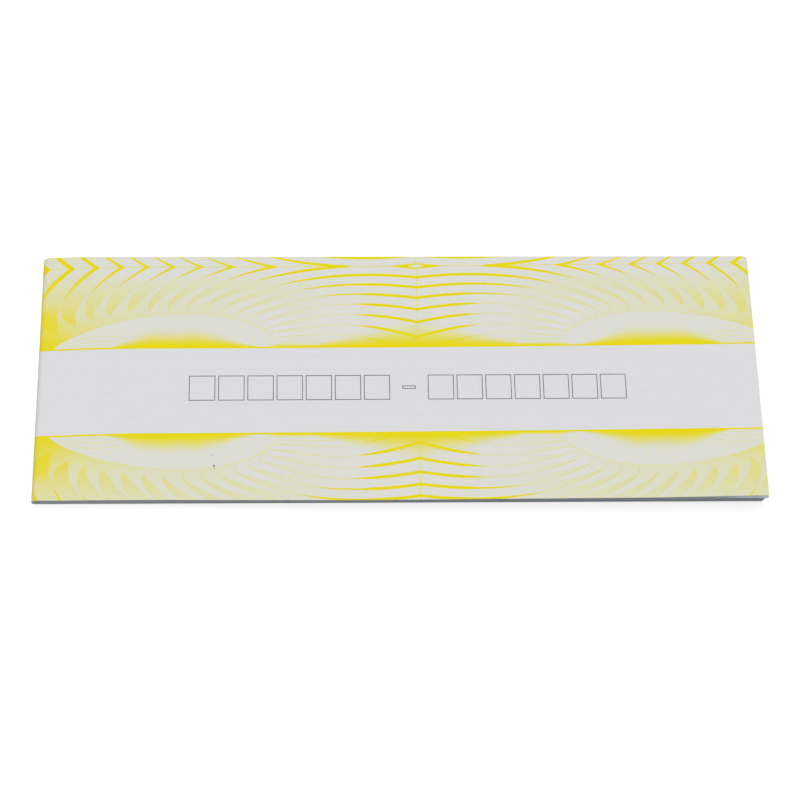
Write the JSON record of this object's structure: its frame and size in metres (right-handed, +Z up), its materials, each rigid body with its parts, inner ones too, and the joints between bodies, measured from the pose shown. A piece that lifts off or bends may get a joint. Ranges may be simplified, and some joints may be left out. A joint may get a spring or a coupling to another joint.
{
  "type": "carbonless slip book",
  "caption": "Closed landscape book of two-part carbonless slips in a printed paper wrap, bound on a short side, with a cover that opens and originals that tear off.",
  "frame": {"origin": "centre of the rectangle that the closed book rests on", "axes": "+X from the spine to the free edge, +Y up the page, +Z up through the front cover"},
  "size_m": [0.297, 0.105, 0.0104],
  "materials": {
    "printed_cover": "smooth coated paper with a yellow line print",
    "plain_cover": "smooth coated paper, unprinted",
    "white_paper": "thin matt carbonless paper",
    "blue_paper": "thin matt carbonless paper, pale blue",
    "leaf_stack": "cut edges of white and pale blue sheets",
    "glue": "thin film of dried glue",
    "steel_wire": "bright drawn wire"
  },
  "bodies": {
    "bound_book": {"wrap_cover": "plain_cover", "spine_glue": "glue", "lifted_stubs": "leaf_stack", "staple_far": "steel_wire", "staple_near": "steel_wire", "sets_06_to_10": "leaf_stack", "sets_11_to_15": "leaf_stack", "sets_16_to_20": "leaf_stack", "sets_21_to_25": "leaf_stack", "sets_26_to_30": "leaf_stack", "sets_31_to_35": "leaf_stack", "sets_36_to_40": "leaf_stack"},
    "front_cover": {"front_cover": "printed_cover"},
    "original_1": {"original_1_margin": "white_paper"},
    "original_1_tear_off": {"original_1_leaf": "white_paper"},
    "copy_1": {"copy_1_leaf": "blue_paper"},
    "original_2": {"original_2_margin": "white_paper"},
    "original_2_tear_off": {"original_2_leaf": "white_paper"},
    "copy_2": {"copy_2_leaf": "blue_paper"},
    "original_3": {"original_3_margin": "white_paper"},
    "original_3_tear_off": {"original_3_leaf": "white_paper"},
    "copy_3": {"copy_3_leaf": "blue_paper"},
    "original_4": {"original_4_margin": "white_paper"},
    "original_4_tear_off": {"original_4_leaf": "white_paper"},
    "copy_4": {"copy_4_leaf": "blue_paper"},
    "original_5": {"original_5_margin": "white_paper"},
    "original_5_tear_off": {"original_5_leaf": "white_paper"},
    "copy_5": {"copy_5_leaf": "blue_paper"}
  },
  "joints": [
    {"name": "front_cover_hinge", "type": "hinge", "parent": "bound_book", "child": "front_cover", "pos_m": [-0.1385, 0, 0.00562], "axis": [0, -1, 0], "range_deg": [0, 180]},
    {"name": "original_1_hinge", "type": "hinge", "parent": "bound_book", "child": "original_1", "pos_m": [-0.1385, 0, 0.00512], "axis": [0, -1, 0], "range_deg": [0, 40]},
    {"name": "original_1_tear_off_slide", "type": "slide", "parent": "original_1", "child": "original_1_tear_off", "axis": [0.9999, 0, 0.0166], "range_m": [0, 0.3]},
    {"name": "copy_1_hinge", "type": "hinge", "parent": "bound_book", "child": "copy_1", "pos_m": [-0.1385, 0, 0.00506], "axis": [0, -1, 0], "range_deg": [0, 36]},
    {"name": "original_2_hinge", "type": "hinge", "parent": "bound_book", "child": "original_2", "pos_m": [-0.1385, 0, 0.005], "axis": [0, -1, 0], "range_deg": [0, 32]},
    {"name": "original_2_tear_off_slide", "type": "slide", "parent": "original_2", "child": "original_2_tear_off", "axis": [0.9999, 0, 0.0156], "range_m": [0, 0.3]},
    {"name": "copy_2_hinge", "type": "hinge", "parent": "bound_book", "child": "copy_2", "pos_m": [-0.1385, 0, 0.00494], "axis": [0, -1, 0], "range_deg": [0, 28]},
    {"name": "original_3_hinge", "type": "hinge", "parent": "bound_book", "child": "original_3", "pos_m": [-0.1385, 0, 0.00488], "axis": [0, -1, 0], "range_deg": [0, 24]},
    {"name": "original_3_tear_off_slide", "type": "slide", "parent": "original_3", "child": "original_3_tear_off", "axis": [0.9999, 0, 0.0147], "range_m": [0, 0.3]},
    {"name": "copy_3_hinge", "type": "hinge", "parent": "bound_book", "child": "copy_3", "pos_m": [-0.1385, 0, 0.00482], "axis": [0, -1, 0], "range_deg": [0, 20]},
    {"name": "original_4_hinge", "type": "hinge", "parent": "bound_book", "child": "original_4", "pos_m": [-0.1385, 0, 0.00476], "axis": [0, -1, 0], "range_deg": [0, 16]},
    {"name": "original_4_tear_off_slide", "type": "slide", "parent": "original_4", "child": "original_4_tear_off", "axis": [0.9999, 0, 0.0137], "range_m": [0, 0.3]},
    {"name": "copy_4_hinge", "type": "hinge", "parent": "bound_book", "child": "copy_4", "pos_m": [-0.1385, 0, 0.0047], "axis": [0, -1, 0], "range_deg": [0, 12]},
    {"name": "original_5_hinge", "type": "hinge", "parent": "bound_book", "child": "original_5", "pos_m": [-0.1385, 0, 0.00464], "axis": [0, -1, 0], "range_deg": [0, 8]},
    {"name": "original_5_tear_off_slide", "type": "slide", "parent": "original_5", "child": "original_5_tear_off", "axis": [0.9999, 0, 0.0127], "range_m": [0, 0.3]},
    {"name": "copy_5_hinge", "type": "hinge", "parent": "bound_book", "child": "copy_5", "pos_m": [-0.1385, 0, 0.00458], "axis": [0, -1, 0], "range_deg": [0, 4]}
  ],
  "couplings": [
    {"joint": "original_1_hinge", "follows": "front_cover_hinge", "ratio": 0.22222},
    {"joint": "copy_1_hinge", "follows": "front_cover_hinge", "ratio": 0.2},
    {"joint": "original_2_hinge", "follows": "front_cover_hinge", "ratio": 0.17777},
    {"joint": "copy_2_hinge", "follows": "front_cover_hinge", "ratio": 0.15555},
    {"joint": "original_3_hinge", "follows": "front_cover_hinge", "ratio": 0.13333},
    {"joint": "copy_3_hinge", "follows": "front_cover_hinge", "ratio": 0.11111},
    {"joint": "original_4_hinge", "follows": "front_cover_hinge", "ratio": 0.08888},
    {"joint": "copy_4_hinge", "follows": "front_cover_hinge", "ratio": 0.06666},
    {"joint": "original_5_hinge", "follows": "front_cover_hinge", "ratio": 0.04444},
    {"joint": "copy_5_hinge", "follows": "front_cover_hinge", "ratio": 0.02222}
  ]
}
